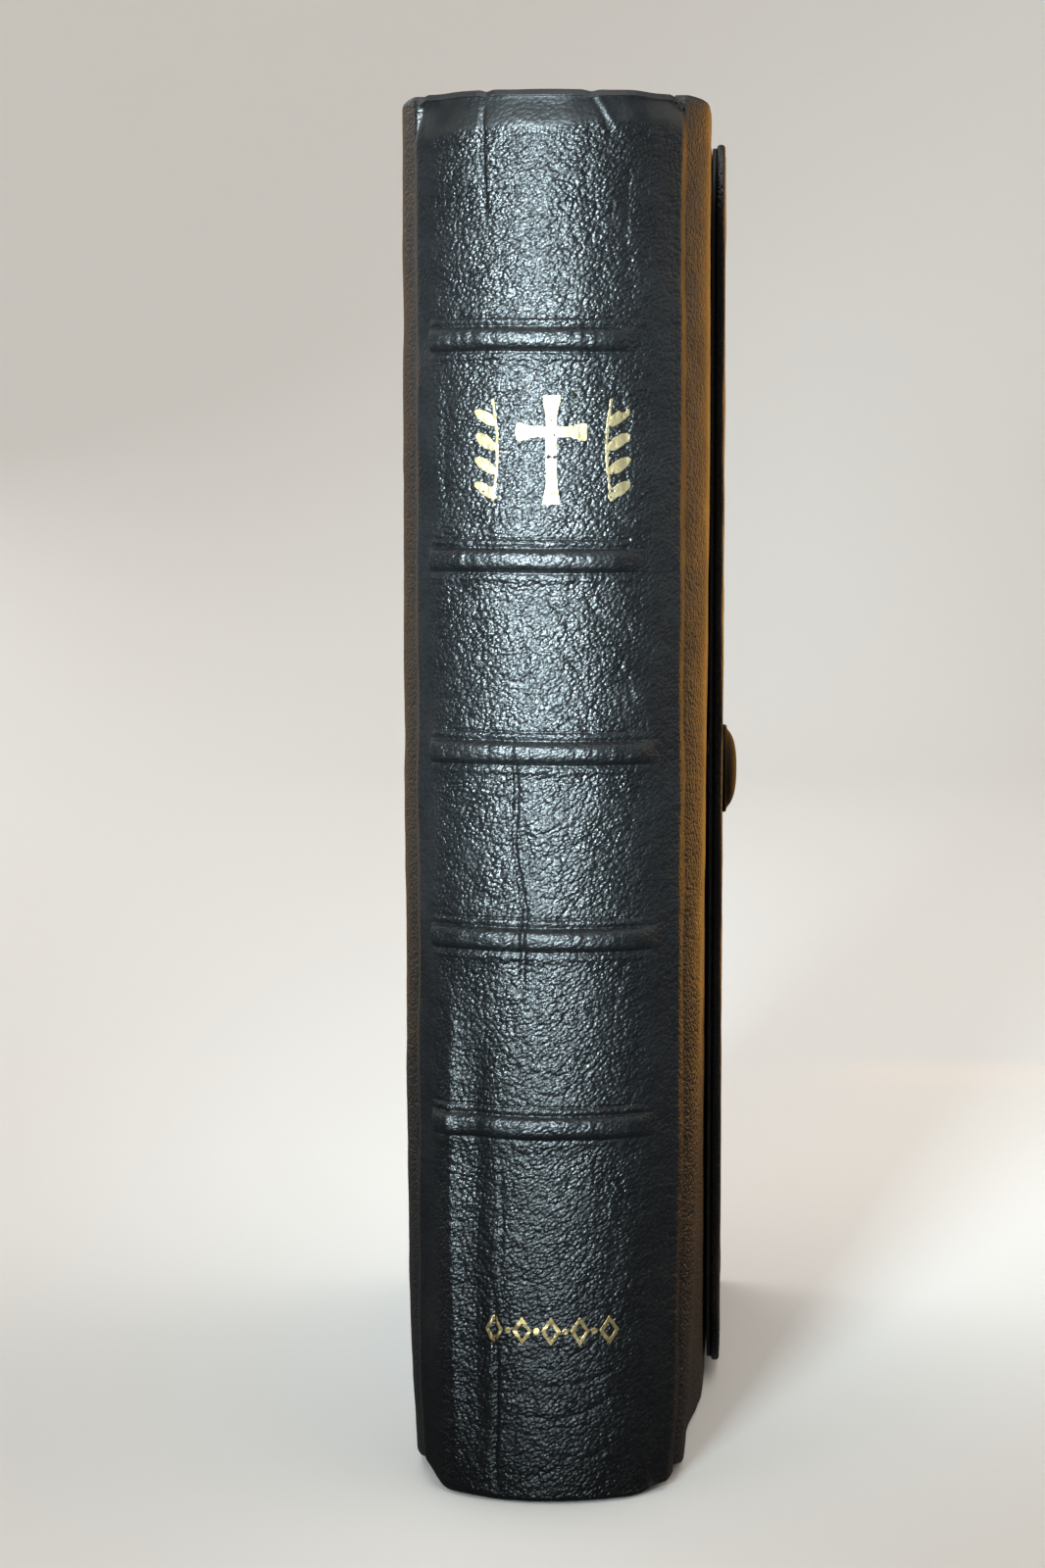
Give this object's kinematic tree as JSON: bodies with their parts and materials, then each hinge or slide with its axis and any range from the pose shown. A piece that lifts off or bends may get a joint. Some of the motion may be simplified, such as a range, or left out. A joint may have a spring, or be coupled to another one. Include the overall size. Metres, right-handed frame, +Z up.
{
  "type": "pocket bible",
  "caption": "Black leather pocket bible with raised bands on a rounded spine and a wrap-around flap that snaps shut.",
  "frame": {"origin": "middle of the foot of the whole object's box, on the tail edges", "axes": "+Z up along the spine from tail to head, -Y out of the spine, +X out of the front cover"},
  "size_m": [0.0334, 0.0991, 0.14],
  "materials": {
    "black_leather": "fine pebble grain, semi-gloss",
    "flap_lining": "smooth pared leather",
    "board": "grey bookbinder's board",
    "card": "manila card",
    "linen": "starched open weave",
    "silk": "twisted silk over cord",
    "leaves": "thin bible paper with gilt edges",
    "endpaper": "black coated endpaper",
    "gilt": "worn gold foil",
    "black_enamel": "gloss black enamel",
    "stud_metal": "nickel plate"
  },
  "bodies": {
    "spine": {"spine_leather": "black_leather", "spine_stiffener": "card", "spine_lining": "linen", "sewing_tapes": "linen", "headband": "silk", "tailband": "silk", "title_ornament": "gilt", "tail_ornament": "gilt", "raised_band_1": "board", "raised_band_2": "board", "raised_band_3": "board", "raised_band_4": "board", "raised_band_5": "board", "gathering_04": "leaves", "gathering_05": "leaves", "gathering_06": "leaves", "gathering_07": "leaves", "gathering_08": "leaves", "gathering_09": "leaves"},
    "front_cover": {"front_cover_leather": "black_leather", "front_board": "board", "front_pastedown": "endpaper", "snap_post": "stud_metal", "snap_post_rivet": "stud_metal"},
    "front_leaves_outer": {"front_flyleaf": "leaves", "gathering_01": "leaves"},
    "front_leaves_middle": {"gathering_02": "leaves"},
    "front_leaves_inner": {"gathering_03": "leaves"},
    "back_cover": {"back_cover_leather": "black_leather", "back_board": "board", "back_pastedown": "endpaper"},
    "back_leaves_outer": {"back_flyleaf": "leaves", "gathering_12": "leaves"},
    "back_leaves_middle": {"gathering_11": "leaves"},
    "back_leaves_inner": {"gathering_10": "leaves"},
    "flap_side": {"flap_side_leather": "black_leather", "flap_side_lining": "flap_lining"},
    "flap_front": {"flap_front_leather": "black_leather", "flap_front_lining": "flap_lining", "snap_cap": "black_enamel", "snap_socket": "stud_metal"}
  },
  "joints": [
    {"name": "front_cover_hinge", "type": "hinge", "parent": "spine", "child": "front_cover", "pos_m": [0.0123, -0.04105, 0.07], "axis": [0, 0, -1], "range_deg": [0, 170]},
    {"name": "front_leaves_outer_turn", "type": "hinge", "parent": "spine", "child": "front_leaves_outer", "pos_m": [0.0123, -0.04105, 0.07], "axis": [0, 0, -1], "range_deg": [0, 165]},
    {"name": "front_leaves_middle_turn", "type": "hinge", "parent": "spine", "child": "front_leaves_middle", "pos_m": [0.00813, -0.04267, 0.07], "axis": [0, 0, -1], "range_deg": [0, 55]},
    {"name": "front_leaves_inner_turn", "type": "hinge", "parent": "spine", "child": "front_leaves_inner", "pos_m": [0.00617, -0.04412, 0.07], "axis": [0, 0, -1], "range_deg": [0, 5]},
    {"name": "back_cover_hinge", "type": "hinge", "parent": "spine", "child": "back_cover", "pos_m": [-0.0157, -0.04105, 0.07], "axis": [0, 0, 1], "range_deg": [0, 170], "deforming": ["flap_side_leather", "flap_side_lining", "flap_front_leather", "flap_front_lining", "snap_cap", "snap_socket"]},
    {"name": "back_leaves_outer_turn", "type": "hinge", "parent": "spine", "child": "back_leaves_outer", "pos_m": [-0.0157, -0.04105, 0.07], "axis": [0, 0, 1], "range_deg": [0, 165]},
    {"name": "back_leaves_middle_turn", "type": "hinge", "parent": "spine", "child": "back_leaves_middle", "pos_m": [-0.01153, -0.04267, 0.07], "axis": [0, 0, 1], "range_deg": [0, 55]},
    {"name": "back_leaves_inner_turn", "type": "hinge", "parent": "spine", "child": "back_leaves_inner", "pos_m": [-0.00957, -0.04412, 0.07], "axis": [0, 0, 1], "range_deg": [0, 5]},
    {"name": "flap_hinge", "type": "hinge", "parent": "back_cover", "child": "flap_side", "pos_m": [-0.0163, 0.0488, 0.07], "axis": [0, 0, 1], "range_deg": [0, 180]},
    {"name": "flap_fold", "type": "hinge", "parent": "flap_side", "child": "flap_front", "pos_m": [0.0141, 0.04855, 0.07], "axis": [0, 0, 1], "range_deg": [0, 90]}
  ],
  "couplings": [
    {"joint": "front_leaves_outer_turn", "follows": "front_cover_hinge", "ratio": 0.97},
    {"joint": "front_leaves_middle_turn", "follows": "front_cover_hinge", "ratio": 0.32},
    {"joint": "front_leaves_inner_turn", "follows": "front_cover_hinge", "ratio": 0.025},
    {"joint": "back_leaves_outer_turn", "follows": "back_cover_hinge", "ratio": 0.97},
    {"joint": "back_leaves_middle_turn", "follows": "back_cover_hinge", "ratio": 0.32},
    {"joint": "back_leaves_inner_turn", "follows": "back_cover_hinge", "ratio": 0.025},
    {"joint": "flap_fold", "follows": "flap_hinge", "ratio": 0.5}
  ]
}
